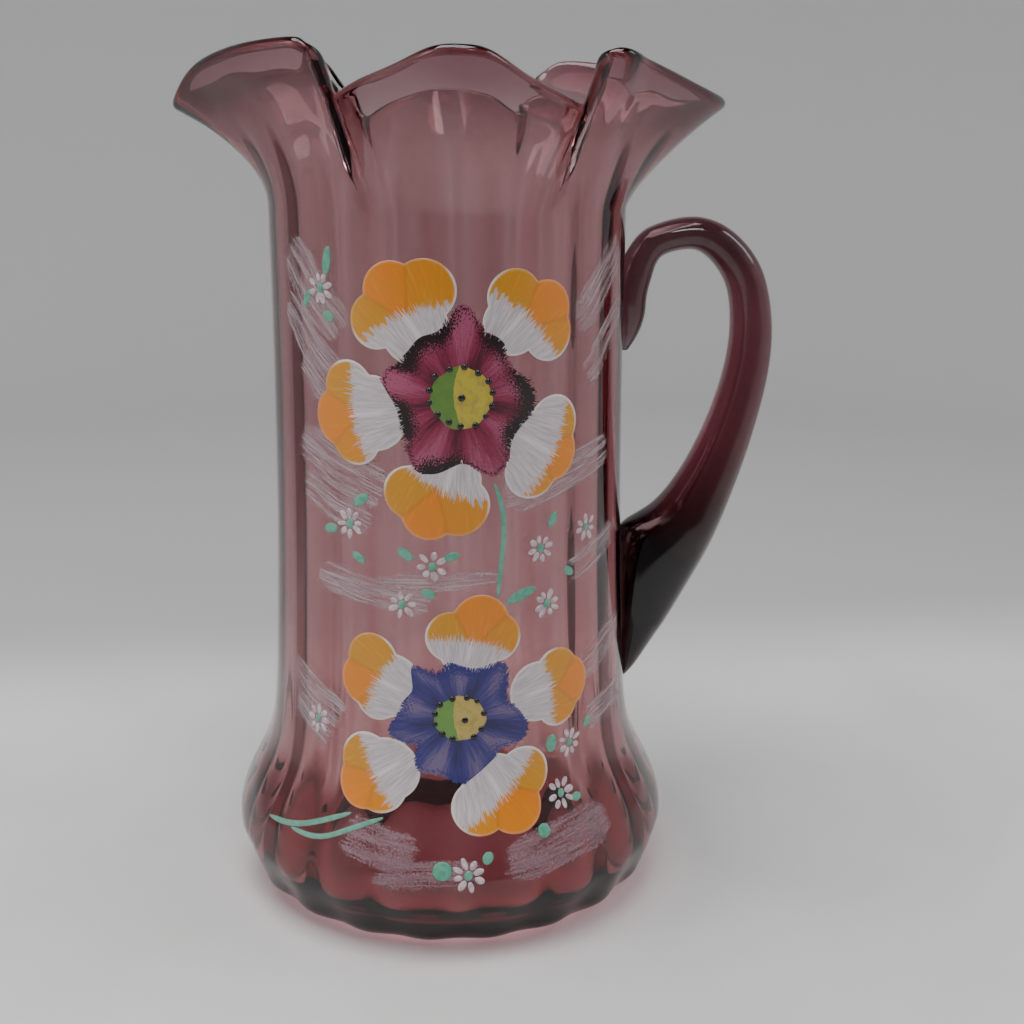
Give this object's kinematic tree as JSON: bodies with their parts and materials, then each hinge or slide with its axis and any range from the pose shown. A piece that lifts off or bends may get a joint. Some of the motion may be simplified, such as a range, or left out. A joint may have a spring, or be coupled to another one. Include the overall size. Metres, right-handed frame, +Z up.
{
  "type": "glass water pitcher",
  "caption": "Tall blown glass water pitcher with a low round bulge, a crimped four-lobed rim, an applied solid glass handle and hand-painted enamel flowers on one side.",
  "frame": {"origin": "centre of the flat foot ring, on the plane the pitcher stands on", "axes": "+Z up through the mouth, +X towards the handle, -Y is the painted front"},
  "size_m": [0.1798, 0.1397, 0.2608],
  "materials": {
    "body_glass": "clear purple blown glass, fire polished",
    "handle_glass": "solid purple glass, fire polished, reads darker because it is thick",
    "petal_enamel": "fired enamel, white at the root and orange at the tip, brushed",
    "crimson_enamel": "fired enamel, crimson with black stippled edge",
    "cobalt_enamel": "fired enamel, violet blue",
    "eye_enamel": "fired enamel, green on one side and yellow on the other",
    "black_enamel": "fired enamel, glossy black raised dots",
    "stem_enamel": "fired enamel, mint green line",
    "mint_enamel": "fired enamel, mint green dab",
    "daisy_enamel": "fired enamel, pinkish white dab",
    "frost_enamel": "thin translucent fired wash with dry-brush streaks"
  },
  "bodies": {
    "root": {"glass_body": "body_glass", "glass_handle": "handle_glass", "upper_flower_petals": "petal_enamel", "upper_flower_corolla": "crimson_enamel", "upper_flower_eye": "eye_enamel", "upper_flower_stamens": "black_enamel", "lower_flower_petals": "petal_enamel", "lower_flower_corolla": "cobalt_enamel", "lower_flower_eye": "eye_enamel", "lower_flower_stamens": "black_enamel", "stems": "stem_enamel", "leaf_dabs": "mint_enamel", "daisy_petals": "daisy_enamel", "daisy_centres": "mint_enamel", "frost_strokes": "frost_enamel"}
  },
  "joints": []
}
